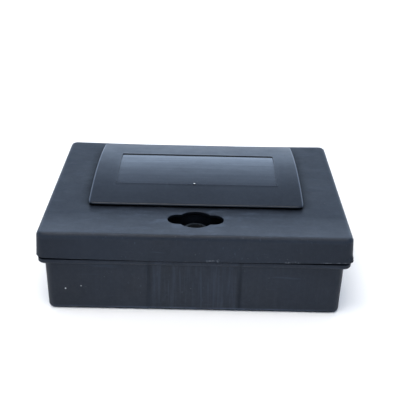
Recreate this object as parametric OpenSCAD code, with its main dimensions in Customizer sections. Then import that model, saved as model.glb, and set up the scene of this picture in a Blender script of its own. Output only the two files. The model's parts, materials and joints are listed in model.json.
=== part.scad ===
// Lockable rodent bait station: a flat moulded box with a hinged lid, an arched label plate,
// a key-operated cam lock, and two lift-out bait trays with rods and bait blocks.
// Origin: centre of the base's underside. +X right, +Y towards the hinge, +Z up. Millimetres.

/* [Base] */
// Width of the base wall at the level of the lid's lower edge
base_w = 232; // [226:1:234]
// Depth of the base wall at the level of the lid's lower edge
base_d = 182; // [179:1:183]
// Height from the ground to the lid's lower edge
base_h = 48; // [47:0.5:50]
// Height that the wall stands up inside the lid
rim_rise = 14; // [10:0.5:14]
// Thickness of the moulded walls
wall = 2.2; // [2:0.1:2.4]
// Thickness of the floor
floor_t = 2.5; // [2:0.1:2.8]
// Corner radius of the base in plan
base_corner_r = 7; // [6:0.5:8]
// Radius round the bottom edge
base_edge_r = 3; // [2:0.5:3.5]
// Thickness of the ledge under the lid
ledge_t = 4; // [2.5:0.1:4.2]

/* [Lid] */
// Width of the lid's top
lid_w = 240; // [238:1:246]
// Depth of the lid's top
lid_d = 190; // [188:1:192]
// Height of the lid from its lower edge to its top
lid_h = 21; // [20.5:0.5:24]
// Corner radius of the lid in plan
lid_corner_r = 6; // [5:0.5:8]
// Radius round the lid's top edge
lid_edge_r = 3.5; // [3:0.5:4]
// How far the walls of the lid and the base widen over their height
draft = 1.2; // [0.8:0.1:1.4]

/* [Label plate] */
// Width of the arched label plate
plate_w = 173; // [160:1:180]
// Depth of the arched label plate
plate_d = 129; // [120:1:130]
// Rise of the arch from its ends to its crown
plate_rise = 6.4; // [4:0.4:8]
// Thickness of the arched label plate
plate_t = 1.4; // [1.2:0.1:1.8]
// Gap between the plate's ends and the lid
plate_gap = 1.4; // [0.9:0.1:1.8]
// Width of the recess for the label
window_w = 134; // [110:1:136]
// Depth of the recess for the label, front to back
window_d = 62; // [50:0.5:66]

/* [Lock] */
// Width of the keyhole over both lobes
key_slot_w = 44; // [40:1:48]
// Width of the keyhole's lobes, front to back
key_slot_d = 16.5; // [12:0.5:17]
// Radius of the keyhole's round middle
key_hole_r = 14; // [12:0.5:14.5]
// Outer radius of the cam's crown
crown_r = 9.5; // [9:0.1:10]
// Depth of the crown's top below the lid's top
crown_depth = 8; // [7:0.5:8.5]

/* [Bait] */
// Diameter of the bait rods
rod_dia = 4; // [3:0.5:5]
// Height of the bait rods above the ground
rod_z = 24; // [22:0.5:24]
// Side of a bait block
block_side = 26; // [20:1:28]
// Length of a bait block
block_len = 42; // [36:1:42]

/* [Hinge] */
// Radius of the hinge pins
pin_r = 1.5; // [1.3:0.1:1.8]
// Distance of each hinge from the middle
hinge_x = 70; // [50:1:90]

/* [Entrances] */
// Width of the entrance in each side wall
door_w = 42; // [36:1:44]
// Height of the entrance in each side wall
door_h = 35; // [31:1:36]
// Distance of the entrances behind the middle
door_y = 61; // [60:1:62]

/* [Hidden] */

eps = 0.01;
corner_fn = 32;           // facets round a hulled corner
round_fn = 64;            // facets of a true circle when drawn on screen
plastic = [0.10, 0.12, 0.15];
grey_plastic = [0.34, 0.37, 0.41];
steel = [0.70, 0.71, 0.72];
bait_colour = [0.10, 0.42, 0.46];

// Heights shared by the lid and the base
lid_bottom = base_h;
lid_top = base_h + lid_h;
lid_skin = 2.4;           // thickness of the lid's top
lid_under = lid_top - lid_skin;
rim_top = base_h + rim_rise;
rib_h = 3;                // ribs under the lid
rib_t = 1.8;
rib_xs = [-96, -48, 0, 48, 96];
rib_front = -38;
rib_rear = 82;
rib_cross_ys = [-38, 48];
rib_reach = 108;

// Inner walls of the base
inner_t = 2;
side_wall_x = 35.5;       // middle of the walls beside the corridor
tunnel_wall_y = 34;       // middle of the wall in front of the tunnel
cross_wall_y = -43;       // middle of the wall behind the lock
bed_z = floor_t - 1;      // inner walls start inside the floor
gate_front = -36;         // doorway from the corridor to each bait chamber
gate_rear = 4;
gate_sill = 9;
tunnel_gate_w = 52;       // doorway from the tunnel to the corridor
tunnel_sill = 6;
door_z = 5;
door_corner_r = 14;
door_foot_r = 3;

// Screw holes in the floor
anchor_r = 2.5;
anchor_x = 20;
anchor_ys = [-5, door_y];
boss_r = 6;
boss_top = floor_t + 2;

// Ledge under the lid
ledge_gap = 1;
ledge_top = lid_bottom - ledge_gap;
ledge_edge_r = 1.5;

// Hinge
knuckle_r = 3.8;
hinge_y = lid_d / 2 + 5;
hinge_z = base_h - 2.7;
hinge_play = 0.3;         // gap on each side of the lid's knuckle
knuckle_w = 16;
ear_w = 5;
pin_play = 0.05;
pin_len = knuckle_w + 2 * (ear_w + hinge_play) + 1.4;
pin_head_r = 2.4;
pin_head_t = 1;
toe_len = 6.2;            // toe that stops the open lid against the ledge
toe_t = 2.4;
toe_angle = -37;

// Lock
key_y = -lid_d / 2 + 29;
crown_top = lid_top - crown_depth;
crown_bore_r = 7.5;
key_notch_w = 4;
key_notch_h = 5;
post_r = 10;
post_top = base_h - 3;
post_rib_top = 28;
spigot_r = 5;
spigot_top = post_top + 9;
spring_h = 1.2;
spring_t = 0.5;
spring_outer_r = 9.4;
spring_inner_r = 5.4;
cam_bottom = post_top + spring_h;
cam_t = 3;
cam_disc_r = 12;
cam_reach = 15.8;         // radius to the tip of the cam's lug
cam_half_angle = 35;
cam_play = 0.05;
hub_top = spigot_top - 0.3;
screw_r = 2;
screw_depth = 12;
screw_head_r = 3.9;
screw_head_h = 2.8;
screw_cross = [1, 4.6, 1.6];
washer_r = 6.8;
washer_hole_r = 2.2;
washer_t = 1;

// Keeper that the cam's lug turns over: a steel angle staked to a web under the lid
keeper_w = 14;
keeper_t = 1.6;
keeper_front = key_y - 18;
keeper_foot = 5.2;
keeper_foot_top = cam_bottom - 0.3;
keeper_top = base_h + 13;
web_w = 18;
web_t = 2.2;
web_bottom = base_h + 2;
gusset_h = 8;             // web's gussets, down the web
gusset_reach = 7;         // and out from its front along the lid
stake_x = 4;
stake_z = base_h + 8;
stake_r = 1.2;
stake_head_r = 2;
stake_head_t = 0.8;

// Label plate
plate_y = 19;
plate_corner_r = 4.5;
plate_end_z = lid_top + plate_gap + plate_t;
plate_radius = (pow(plate_d / 2, 2) + pow(plate_rise, 2)) / (2 * plate_rise);
plate_axis_z = plate_end_z + plate_rise - plate_radius;
plate_side_gap = 0.4;
plate_reach = 30;         // taller than the arch, for cuts
window_y = 15.5;
window_depth = 0.6;
nub_x = -2;
nub_r = 1.3;
nub_h = 0.7;
peg_x = 72;
peg_dy = 44;
peg_r = 2.5;
peg_foot_r = 4;
peg_head_r = 3.3;
peg_head_h = 2;
peg_play = 0.2;

// Bait trays, rods and blocks, for the right-hand side
tray_x = 74;
tray_w = 72;
tray_y = -27;
tray_d = 117;
tray_z = floor_t + 0.1;
tray_h = 19;
tray_wall = 1.6;
tray_corner_r = 6;
tray_lip = 0.8;
tray_lip_h = 2;
tray_sill_h = 8;          // height of the tray's side where animals reach in
rod_post_ys = [-72, 22];
rod_post_w = 16;
rod_post_t = 3;
rod_post_top = rod_z + 5;
rod_play = 0.05;
rod_r = rod_dia / 2;
rod_rear = 29;
rod_bend_y = -79.5;
rod_bend_r = 5;
rod_handle = 8;
block_y_front = -47.5;
block_y_rear = -2.5;
block_groove = 1.6;
block_grooves = 3;

// ---- Shapes that repeat ----

// Rectangle with round corners, about the origin
module round_rect(w, d, r) {
    square([w - 2 * r, d], center = true);
    square([w, d - 2 * r], center = true);
    for (x = [-1, 1], y = [-1, 1])
        translate([x * (w / 2 - r), y * (d / 2 - r)]) circle(r, $fn = round_fn);
}

// Corner post of a drafted box: r0 at the bottom and r1 at the top, with a round bottom edge
module corner_post(r0, r1, h, edge) {
    rotate_extrude($fn = corner_fn)
        polygon(concat([[0, 0]],
                       [for (a = [0:18:90]) [r0 - edge + edge * sin(a), edge - edge * cos(a)]],
                       [[r1, h], [0, h]]));
}

// Drafted box with round corners, w by d and corner radius r at its open, upper end
module drafted_box(w, d, h, r, widen, edge) {
    hull()
        for (x = [-1, 1], y = [-1, 1])
            translate([x * (w / 2 - r), y * (d / 2 - r), 0])
                corner_post(r - widen, r, h, edge);
}

// Bar along X with its middle at x
module bar_x(x, y, z, r, len) {
    translate([x, y, z]) rotate([0, 90, 0]) cylinder(h = len, r = r, center = true, $fn = round_fn);
}

// Bar that runs len towards the front from here
module bar_y(r, len) {
    rotate([90, 0, 0]) cylinder(h = len, r = r, $fn = round_fn);
}

// Outline in the plane across X, as a slab w wide about the middle
module slab_x(w) {
    rotate([90, 0, 90]) linear_extrude(w, center = true) children();
}

// ---- Base ----

// Form of the base's shell from z up to the rim, set in by inset
module base_form(inset, z, edge) {
    rim_w = base_w + 2 * draft * rim_rise / base_h;
    rim_d = base_d + 2 * draft * rim_rise / base_h;
    widen = draft * (rim_top - z) / base_h;
    over = inset > 0 ? eps : 0;
    translate([0, 0, z])
        drafted_box(rim_w - 2 * inset, rim_d - 2 * inset, rim_top - z + over,
                    base_corner_r + draft - inset, widen, edge);
}

module ledge() {
    translate([0, 0, ledge_top - ledge_t])
        drafted_box(lid_w, lid_d, ledge_t, lid_corner_r, 0, ledge_edge_r);
}

module inner_walls() {
    reach_x = base_w / 2 - 2;
    reach_y = base_d / 2 - 2;
    h = rim_top - bed_z;
    gate_w = 2 * (side_wall_x + inner_t);
    difference() {
        union() {
            for (s = [-1, 1])
                translate([s * side_wall_x - inner_t / 2, -reach_y, bed_z])
                    cube([inner_t, reach_y + tunnel_wall_y, h]);
            translate([-reach_x, tunnel_wall_y - inner_t / 2, bed_z]) cube([2 * reach_x, inner_t, h]);
            translate([-side_wall_x, cross_wall_y - inner_t / 2, bed_z])
                cube([2 * side_wall_x, inner_t, h]);
        }
        translate([-gate_w / 2, gate_front, gate_sill]) cube([gate_w, gate_rear - gate_front, rim_top]);
        translate([-tunnel_gate_w / 2, tunnel_wall_y - inner_t, tunnel_sill])
            cube([tunnel_gate_w, 2 * inner_t, rim_top]);
    }
}

// Post that carries the lock's cam, with a rib to each of the corridor's walls
module lock_post() {
    translate([0, key_y, bed_z]) {
        cylinder(h = post_top - bed_z, r = post_r, $fn = round_fn);
        cylinder(h = spigot_top - bed_z, r = spigot_r, $fn = round_fn);
    }
    translate([-side_wall_x, key_y - inner_t / 2, bed_z])
        cube([2 * side_wall_x, inner_t, post_rib_top - bed_z]);
}

// Outline of a base ear in the plane across the hinge axis
module ear_profile() {
    circle(knuckle_r, $fn = round_fn);
    polygon([[-10, -14], [-10, 1.2], [-3.4, 1.2], [0, 0], [2.2, -3.1], [-8, -14]]);
}

module hinge_ears() {
    ear_x = (knuckle_w + ear_w) / 2 + hinge_play;
    for (s = [-1, 1], side = [-1, 1])
        translate([s * hinge_x + side * ear_x, hinge_y, hinge_z]) slab_x(ear_w) ear_profile();
}

// Outline of an entrance, with its bottom edge at zero
module door_profile() {
    half = door_w / 2;
    arch_z = door_h - door_corner_r;
    translate([-half, door_foot_r]) square([door_w, arch_z - door_foot_r]);
    translate([-half + door_foot_r, 0]) square([door_w - 2 * door_foot_r, arch_z]);
    translate([-half + door_corner_r, 0]) square([door_w - 2 * door_corner_r, door_h]);
    for (s = [-1, 1]) {
        translate([s * (half - door_foot_r), door_foot_r]) circle(door_foot_r, $fn = round_fn);
        translate([s * (half - door_corner_r), arch_z]) circle(door_corner_r, $fn = round_fn);
    }
}

module base_tray() {
    color(plastic) difference() {
        union() {
            difference() {
                union() {
                    base_form(0, 0, base_edge_r);
                    ledge();
                }
                base_form(wall, floor_t, base_edge_r - 1);
            }
            inner_walls();
            lock_post();
            hinge_ears();
            for (x = [-1, 1], y = anchor_ys)
                translate([x * anchor_x, y, bed_z])
                    cylinder(h = boss_top - bed_z, r = boss_r, $fn = round_fn);
        }
        translate([0, door_y, door_z]) slab_x(lid_w) door_profile();
        for (x = [-1, 1], y = anchor_ys)
            translate([x * anchor_x, y, -1]) cylinder(h = boss_top + 2, r = anchor_r, $fn = round_fn);
        translate([0, key_y, spigot_top - screw_depth])
            cylinder(h = screw_depth + 1, r = screw_r, $fn = round_fn);
        for (s = [-1, 1]) bar_x(s * hinge_x, hinge_y, hinge_z, pin_r, 2 * knuckle_w);
    }
}

// ---- Hinge pins ----

module hinge_pin(side) {
    color(steel) {
        bar_x(side * hinge_x, hinge_y, hinge_z, pin_r, pin_len);
        bar_x(side * (hinge_x - pin_len / 2), hinge_y, hinge_z, pin_head_r, pin_head_t);
    }
}

module hinge_pin_left() { hinge_pin(-1); }
module hinge_pin_right() { hinge_pin(1); }

// ---- Lid ----

// Form of the lid's shell from its lower edge up to top, set in by inset
module lid_form(inset, top, edge) {
    h = top - lid_bottom;
    over = inset > 0 ? eps : 0;
    translate([0, 0, top]) mirror([0, 0, 1])
        drafted_box(lid_w + 2 * (draft - inset), lid_d + 2 * (draft - inset), h + over,
                    lid_corner_r + draft - inset, draft * h / lid_h, edge);
}

module keyhole() {
    lobe_x = (key_slot_w - key_slot_d) / 2;
    h = lid_skin + 2;
    translate([0, key_y, lid_under - 1]) {
        cylinder(h = h, r = key_hole_r, $fn = round_fn);
        translate([-lobe_x, -key_slot_d / 2, 0]) cube([2 * lobe_x, key_slot_d, h]);
        for (s = [-1, 1])
            translate([s * lobe_x, 0, 0]) cylinder(h = h, r = key_slot_d / 2, $fn = round_fn);
    }
}

// Ribs that stiffen the lid's underside
module lid_ribs() {
    z = lid_under - rib_h;
    for (x = rib_xs)
        translate([x - rib_t / 2, rib_front, z]) cube([rib_t, rib_rear - rib_front, rib_h + 1]);
    for (y = rib_cross_ys)
        translate([-rib_reach, y - rib_t / 2, z]) cube([2 * rib_reach, rib_t, rib_h + 1]);
}

// Web in front of the lock, with two stakes whose heads hold the keeper
module keeper_web() {
    front = keeper_front - web_t;
    translate([-web_w / 2, front, web_bottom]) cube([web_w, web_t, lid_under + 1 - web_bottom]);
    for (s = [-1, 1]) {
        translate([s * (web_w - rib_t) / 2, front, lid_under - gusset_h]) slab_x(rib_t)
            polygon([[0, 0], [web_t, 0], [gusset_reach, gusset_h + 1], [0, gusset_h + 1]]);
        translate([s * stake_x, keeper_front + keeper_t, stake_z]) {
            bar_y(stake_r, keeper_t + web_t / 2);
            translate([0, stake_head_t, 0]) bar_y(stake_head_r, stake_head_t);
        }
    }
}

// Knuckle and gusset of the lid, with the toe that stops it when it is open
module lid_knuckle_profile() {
    circle(knuckle_r, $fn = round_fn);
    polygon([[-5.2, 3], [-5.2, 15], [-4.4, 15], [3.3, 1.9], [0, 0], [-3.4, 1.7]]);
    rotate(toe_angle) translate([0, -toe_t / 2]) square([toe_len, toe_t]);
}

module lid() {
    color(plastic) difference() {
        union() {
            difference() {
                lid_form(0, lid_top, lid_edge_r);
                lid_form(wall, lid_under, lid_edge_r - 1.5);
            }
            lid_ribs();
            keeper_web();
            for (s = [-1, 1])
                translate([s * hinge_x, hinge_y, hinge_z]) slab_x(knuckle_w) lid_knuckle_profile();
        }
        keyhole();
        for (s = [-1, 1]) bar_x(s * hinge_x, hinge_y, hinge_z, pin_r + pin_play, 2 * knuckle_w);
        for (x = [-1, 1], y = [-1, 1])
            translate([x * peg_x, plate_y + y * peg_dy, lid_under - 1])
                cylinder(h = lid_skin + 2, r = peg_r + peg_play, $fn = round_fn);
    }
}

// ---- Label plate ----

// Cylinder about the arch's axis, w long, in the lid's frame
module arch_cylinder(r, w) {
    translate([0, plate_y, plate_axis_z]) rotate([0, 90, 0])
        cylinder(h = w, r = r, center = true, $fn = 360);
}

// Snap peg: a foot that stands on the lid, a shank through the lid and a head under it
module label_peg() {
    foot_top = plate_axis_z + sqrt(pow(plate_radius, 2) - pow(peg_dy, 2)) - plate_t / 2;
    head_z = lid_under - peg_play - peg_head_h;
    translate([0, 0, lid_top]) cylinder(h = foot_top - lid_top, r = peg_foot_r, $fn = round_fn);
    translate([0, 0, head_z]) cylinder(h = lid_top - head_z + eps, r = peg_r, $fn = round_fn);
    translate([0, 0, head_z])
        cylinder(h = peg_head_h, r1 = peg_r - 0.4, r2 = peg_head_r, $fn = round_fn);
}

module label_plate() {
    window_front = window_y - window_d / 2;
    window_top = plate_axis_z + sqrt(pow(plate_radius, 2) - pow(window_front - plate_y, 2));
    color(plastic) {
        difference() {
            intersection() {
                translate([0, plate_y, lid_top + plate_side_gap])
                    linear_extrude(plate_reach) round_rect(plate_w, plate_d, plate_corner_r);
                arch_cylinder(plate_radius, plate_w + 2);
            }
            arch_cylinder(plate_radius - plate_t, plate_w - 2 * plate_t);
            difference() {
                translate([-window_w / 2, window_front, lid_top])
                    cube([window_w, window_d, plate_reach]);
                arch_cylinder(plate_radius - window_depth, plate_w + 2);
            }
        }
        translate([nub_x, window_front, window_top - 1])
            cylinder(h = 1 + nub_h, r = nub_r, $fn = round_fn);
        for (x = [-1, 1], y = [-1, 1])
            translate([x * peg_x, plate_y + y * peg_dy, 0]) label_peg();
    }
}

// ---- Lock ----

// Lug of the cam, a sector about +Y
module cam_lug() {
    reach = 2 * cam_reach;
    spread = reach * tan(cam_half_angle);
    intersection() {
        cylinder(h = cam_t, r = cam_reach, $fn = round_fn);
        linear_extrude(cam_t) polygon([[0, 0], [spread, reach], [-spread, reach]]);
    }
}

module lock_cam() {
    color(grey_plastic) translate([0, key_y, cam_bottom]) difference() {
        union() {
            cylinder(h = cam_t, r = cam_disc_r, $fn = round_fn);
            cam_lug();
            cylinder(h = crown_top - cam_bottom, r = crown_r, $fn = round_fn);
        }
        translate([0, 0, -1])
            cylinder(h = crown_top, r = spigot_r + cam_play, $fn = round_fn);
        translate([0, 0, hub_top - cam_bottom]) cylinder(h = crown_top, r = crown_bore_r, $fn = round_fn);
        translate([-cam_disc_r, -key_notch_w / 2, crown_top - cam_bottom - key_notch_h])
            cube([2 * cam_disc_r, key_notch_w, key_notch_h + 1]);
    }
}

// Steel angle that hangs from the lid's web, with its foot under the cam's lug
module lock_keeper() {
    bottom = keeper_foot_top - keeper_t;
    color(steel) translate([-keeper_w / 2, keeper_front, bottom]) difference() {
        union() {
            cube([keeper_w, keeper_t, keeper_top - bottom]);
            cube([keeper_w, keeper_foot, keeper_t]);
        }
        for (s = [-1, 1])
            translate([keeper_w / 2 + s * stake_x, keeper_t + 1, stake_z - bottom])
                bar_y(stake_r, keeper_t + 2);
    }
}

// Coned spring washer that keeps the cam from turning by itself
module lock_spring_washer() {
    top = spring_h - 0.1;
    color(steel) translate([0, key_y, post_top]) rotate_extrude($fn = round_fn)
        polygon([[spring_inner_r, top - spring_t], [spring_outer_r, 0],
                 [spring_outer_r, spring_t], [spring_inner_r, top]]);
}

module lock_washer() {
    color(steel) translate([0, key_y, spigot_top]) difference() {
        cylinder(h = washer_t, r = washer_r, $fn = round_fn);
        translate([0, 0, -1]) cylinder(h = washer_t + 2, r = washer_hole_r, $fn = round_fn);
    }
}

module lock_screw() {
    seat = spigot_top + washer_t;
    shank_bottom = spigot_top - screw_depth + 1;
    color(steel) translate([0, key_y, 0]) difference() {
        union() {
            translate([0, 0, shank_bottom])
                cylinder(h = seat - shank_bottom + eps, r = screw_r, $fn = round_fn);
            translate([0, 0, seat])
                cylinder(h = screw_head_h, r1 = screw_head_r, r2 = screw_head_r - 0.9, $fn = round_fn);
        }
        for (a = [0, 90])
            rotate(a) translate([0, 0, seat + screw_head_h - screw_cross[2] / 2 + eps])
                cube(screw_cross, center = true);
    }
}

// ---- Bait trays ----

module bait_tray(side) {
    slot = 2 * (rod_r + rod_play);
    color(grey_plastic) translate([side * tray_x, tray_y, tray_z]) difference() {
        union() {
            difference() {
                union() {
                    linear_extrude(tray_h) round_rect(tray_w, tray_d, tray_corner_r);
                    translate([0, 0, tray_h - tray_lip_h]) linear_extrude(tray_lip_h)
                        round_rect(tray_w + 2 * tray_lip, tray_d + 2 * tray_lip, tray_corner_r + tray_lip);
                }
                translate([0, 0, tray_wall]) linear_extrude(tray_h)
                    round_rect(tray_w - 2 * tray_wall, tray_d - 2 * tray_wall, tray_corner_r - tray_wall);
                translate([-side * tray_w / 2 - tray_wall - 1, gate_front - tray_y, tray_sill_h])
                    cube([2 * tray_wall + 2, gate_rear - gate_front, tray_h]);
            }
            for (y = rod_post_ys)
                translate([-rod_post_w / 2, y - tray_y - rod_post_t / 2, tray_wall / 2])
                    cube([rod_post_w, rod_post_t, rod_post_top - tray_z - tray_wall / 2]);
        }
        for (y = rod_post_ys) translate([0, y - tray_y, rod_z - tray_z]) {
            rotate([90, 0, 0])
                cylinder(h = rod_post_t + 2, r = slot / 2, center = true, $fn = round_fn);
            translate([-slot / 2, -rod_post_t / 2 - 1, 0]) cube([slot, rod_post_t + 2, tray_h]);
        }
    }
}

module bait_tray_left() { bait_tray(-1); }
module bait_tray_right() { bait_tray(1); }

// ---- Bait rods ----

module bait_rod(side) {
    straight_front = rod_bend_y + rod_bend_r;
    color(steel) translate([side * tray_x, 0, rod_z]) {
        translate([0, rod_rear, 0]) rotate([90, 0, 0])
            cylinder(h = rod_rear - straight_front, r = rod_r, $fn = round_fn);
        translate([0, straight_front, rod_bend_r]) rotate([90, 0, -90])
            rotate_extrude(angle = 90, start = 270, $fn = round_fn)
                translate([rod_bend_r, 0]) circle(rod_r, $fn = round_fn);
        translate([0, rod_bend_y, rod_bend_r])
            cylinder(h = rod_handle, r = rod_r, $fn = round_fn);
    }
}

module bait_rod_left() { bait_rod(-1); }
module bait_rod_right() { bait_rod(1); }

// ---- Bait blocks ----

// Section of a block: a square with grooves in its sides, pierced for the rod
module block_profile() {
    pitch = block_side / (block_grooves + 1);
    difference() {
        square(block_side, center = true);
        for (a = [0:90:270], i = [1:block_grooves])
            rotate(a) translate([i * pitch - block_side / 2, block_side / 2])
                rotate(45) square(block_groove, center = true);
        circle(rod_r + rod_play, $fn = round_fn);
    }
}

module bait_block(side, y) {
    color(bait_colour) translate([side * tray_x, y, rod_z]) rotate([90, 0, 0])
        linear_extrude(block_len, center = true) block_profile();
}

module bait_block_left_front() { bait_block(-1, block_y_front); }
module bait_block_left_rear() { bait_block(-1, block_y_rear); }
module bait_block_right_front() { bait_block(1, block_y_front); }
module bait_block_right_rear() { bait_block(1, block_y_rear); }

base_tray();
hinge_pin_left();
hinge_pin_right();
lock_spring_washer();
lock_washer();
lock_screw();
lid();
lock_keeper();
label_plate();
lock_cam();
bait_tray_left();
bait_tray_right();
bait_rod_left();
bait_rod_right();
bait_block_left_front();
bait_block_left_rear();
bait_block_right_front();
bait_block_right_rear();
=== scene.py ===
"""Looks of the bait station: satin black mouldings, seen from the front and above."""

import json
import math

import bmesh
import bpy
import numpy as np
from mathutils import Matrix, Vector, noise


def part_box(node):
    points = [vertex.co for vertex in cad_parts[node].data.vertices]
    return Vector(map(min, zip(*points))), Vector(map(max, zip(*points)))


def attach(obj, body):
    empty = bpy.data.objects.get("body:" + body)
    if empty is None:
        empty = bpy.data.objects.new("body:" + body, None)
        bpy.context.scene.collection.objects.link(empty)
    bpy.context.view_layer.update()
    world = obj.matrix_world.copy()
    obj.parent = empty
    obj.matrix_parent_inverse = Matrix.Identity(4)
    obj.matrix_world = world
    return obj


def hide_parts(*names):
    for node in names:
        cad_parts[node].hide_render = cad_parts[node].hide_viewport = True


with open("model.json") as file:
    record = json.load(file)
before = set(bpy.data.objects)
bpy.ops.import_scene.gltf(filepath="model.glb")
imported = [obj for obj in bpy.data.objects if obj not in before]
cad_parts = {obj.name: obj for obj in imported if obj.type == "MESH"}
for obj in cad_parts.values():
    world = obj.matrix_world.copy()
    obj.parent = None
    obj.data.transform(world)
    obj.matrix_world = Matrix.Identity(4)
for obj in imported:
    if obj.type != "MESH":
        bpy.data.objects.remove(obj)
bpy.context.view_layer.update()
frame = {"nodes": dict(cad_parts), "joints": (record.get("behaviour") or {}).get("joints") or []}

MM = 0.001

# ---- Sizes that both mouldings share, in millimetres ----

LID_LOW, LID_HIGH = (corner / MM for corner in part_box("lid"))
PLATE_LOW, PLATE_HIGH = (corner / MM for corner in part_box("label_plate"))
RIM_TOP = (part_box("base_tray")[1] / MM).z
JOINTS = {joint["name"]: joint for joint in frame["joints"]}
HINGE_Y, HINGE_Z = (value / MM for value in JOINTS["lid_hinge"]["pos_m"][1:])
KEY_Y = JOINTS["lock_turn"]["pos_m"][1] / MM

DRAFT = 1.2
WALL = 2.2
OVERLAP = 0.6           # how far a fitting runs into the wall that it stands on
SHIFT = 0.02            # keeps the sides of two overlapping fittings out of one plane
HINGE_XS = (-70, 70)
BARREL_R = 3.8
LID_HALF_W = LID_HIGH.x - DRAFT
LID_HALF_D = -LID_LOW.y - DRAFT
LID_BOTTOM = 48.0
LID_TOP = LID_HIGH.z
LID_SKIN = 2.4
LID_UNDER = LID_TOP - LID_SKIN
LID_CORNER_R = 6.0


# ---- Helpers for meshes: points in millimetres, shapes as (verts, faces) ----

CORNER_STEPS = 12


def smooth(obj, sharp_deg=38.0):
    obj.data.shade_smooth()
    obj.data.set_sharp_from_angle(angle=math.radians(sharp_deg))


def mesh_object(name, verts, faces, sharp_deg=38.0):
    mesh = bpy.data.meshes.new(name)
    mesh.from_pydata([Vector(v) * MM for v in verts], [], faces)
    mesh.update()
    obj = bpy.data.objects.new(name, mesh)
    bpy.context.scene.collection.objects.link(obj)
    smooth(obj, sharp_deg)
    return obj


def ramp(value, start, length):
    """0 up to the start, rising to 1 over the length, and level beyond."""
    return min(1.0, max(0.0, (value - start) / length))


def arc_steps(start_deg, end_deg, steps):
    """Evenly spaced angles from the start to the end, in radians."""
    return [math.radians(start_deg + (end_deg - start_deg) * i / steps) for i in range(steps + 1)]


def circle_points(cu, cv, r, start_deg, end_deg, steps):
    """Points along an arc, in the plane of the caller's two coordinates."""
    return [(cu + r * math.cos(a), cv + r * math.sin(a)) for a in arc_steps(start_deg, end_deg, steps)]


def outline(half_w, half_d, r, fronts, sides):
    """Rounded rectangle, anticlockwise from the front left, with points at set shares of its sides."""
    straight_w, straight_d = half_w - r, half_d - r
    quarters = [
        ((1, -1), -90, [(x * straight_w, -half_d) for x in fronts]),
        ((1, 1), 0, [(half_w, y * straight_d) for y in sides]),
        ((-1, 1), 90, [(-x * straight_w, half_d) for x in fronts]),
        ((-1, -1), 180, [(-half_w, -y * straight_d) for y in sides]),
    ]
    points = []
    for (sx, sy), start, straight in quarters:
        arc = circle_points(sx * straight_w, sy * straight_d, r, start, start + 90, CORNER_STEPS)
        points += straight + arc[1:-1]
    return np.array(points)


def loft(rings, closed):
    """Quads between rings that all have the same number of points, bottom first on the outside."""
    count = len(rings[0])
    verts = [tuple(p) for ring in rings for p in ring]
    faces = []
    pairs = len(rings) if closed else len(rings) - 1
    for i in range(pairs):
        a, b = i * count, ((i + 1) % len(rings)) * count
        for j in range(count):
            k = (j + 1) % count
            faces.append((a + j, a + k, b + k, b + j))
    return verts, faces


def bevel(bm, edges, width):
    bmesh.ops.bevel(bm, geom=edges, offset=width, segments=2, profile=0.5, affect="EDGES")


def take(bm):
    """The (verts, faces) of a bmesh, which is freed."""
    bm.verts.index_update()
    verts = [tuple(v.co) for v in bm.verts]
    faces = [tuple(v.index for v in f.verts) for f in bm.faces]
    bm.free()
    return verts, faces


def add_box(low, high, width=0.3):
    """Box with soft edges."""
    bm = bmesh.new()
    bmesh.ops.create_cube(bm, size=1.0)
    low, high = Vector(low), Vector(high)
    for v in bm.verts:
        v.co = Vector(low[i] + (v.co[i] + 0.5) * (high[i] - low[i]) for i in range(3))
    bevel(bm, bm.edges[:], width)
    return take(bm)


def add_slab(profile, x0, x1, width=0.35):
    """Outline in the plane across X, extruded from x0 to x1, with soft rims."""
    bm = bmesh.new()
    face = bm.faces.new([bm.verts.new((x0, y, z)) for y, z in profile])
    grown = bmesh.ops.extrude_face_region(bm, geom=[face])
    for item in grown["geom"]:
        if isinstance(item, bmesh.types.BMVert):
            item.co.x = x1
    bmesh.ops.recalc_face_normals(bm, faces=bm.faces[:])
    bevel(bm, [e for e in bm.edges if abs(e.verts[0].co.x - e.verts[1].co.x) < 1e-6], width)
    return take(bm)


def add_lathe(profile, centre, steps=40):
    """Outline of (radius, z) pairs, bottom first, turned about Z, with a flat disc at each end."""
    verts, faces = [], []
    for r, z in profile:
        for i in range(steps):
            a = 2 * math.pi * i / steps
            verts.append((centre[0] + r * math.cos(a), centre[1] + r * math.sin(a), z))
    for ring in range(len(profile) - 1):
        for i in range(steps):
            k = (i + 1) % steps
            low, high = ring * steps, (ring + 1) * steps
            faces.append((low + i, low + k, high + k, high + i))
    faces.append(tuple(range(steps))[::-1])
    faces.append(tuple(range((len(profile) - 1) * steps, len(profile) * steps)))
    return verts, faces


def joined(parts):
    """Several shapes as one."""
    verts, faces = [], []
    for part_verts, part_faces in parts:
        start = len(verts)
        verts += part_verts
        faces += [tuple(i + start for i in f) for f in part_faces]
    return verts, faces


def about_hinge(points):
    """Points given from the hinge's axis, in the plane across X."""
    return [(HINGE_Y + y, HINGE_Z + z) for y, z in points]


# ---- Lid: one closed shell with the keyhole, and the parts moulded onto it ----

LID_EDGE_R = 3.5
LID_LIP_R = 0.4
LID_FILLET = 2.0
KEY_RIM_R = 0.5
KEY_HOLE_R = 14.0
KEY_LOBE_R = 8.25
KEY_LOBE_X = 13.75
KEY_HALF_W = KEY_LOBE_X + KEY_LOBE_R

LID_REAR_SAG = 1.1
LID_FRONT_LIFT = 0.9
LID_FRONT_BOW = 1.05
TOP_WAVE = 0.10
SKIRT_WAVE = 0.22
BURR = 2.2
BURR_REACH = 5.5
BURR_AT = Vector((LID_HALF_W + DRAFT - 1.5, -LID_HALF_D - DRAFT + 1.5, LID_BOTTOM + 1.5))

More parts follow.
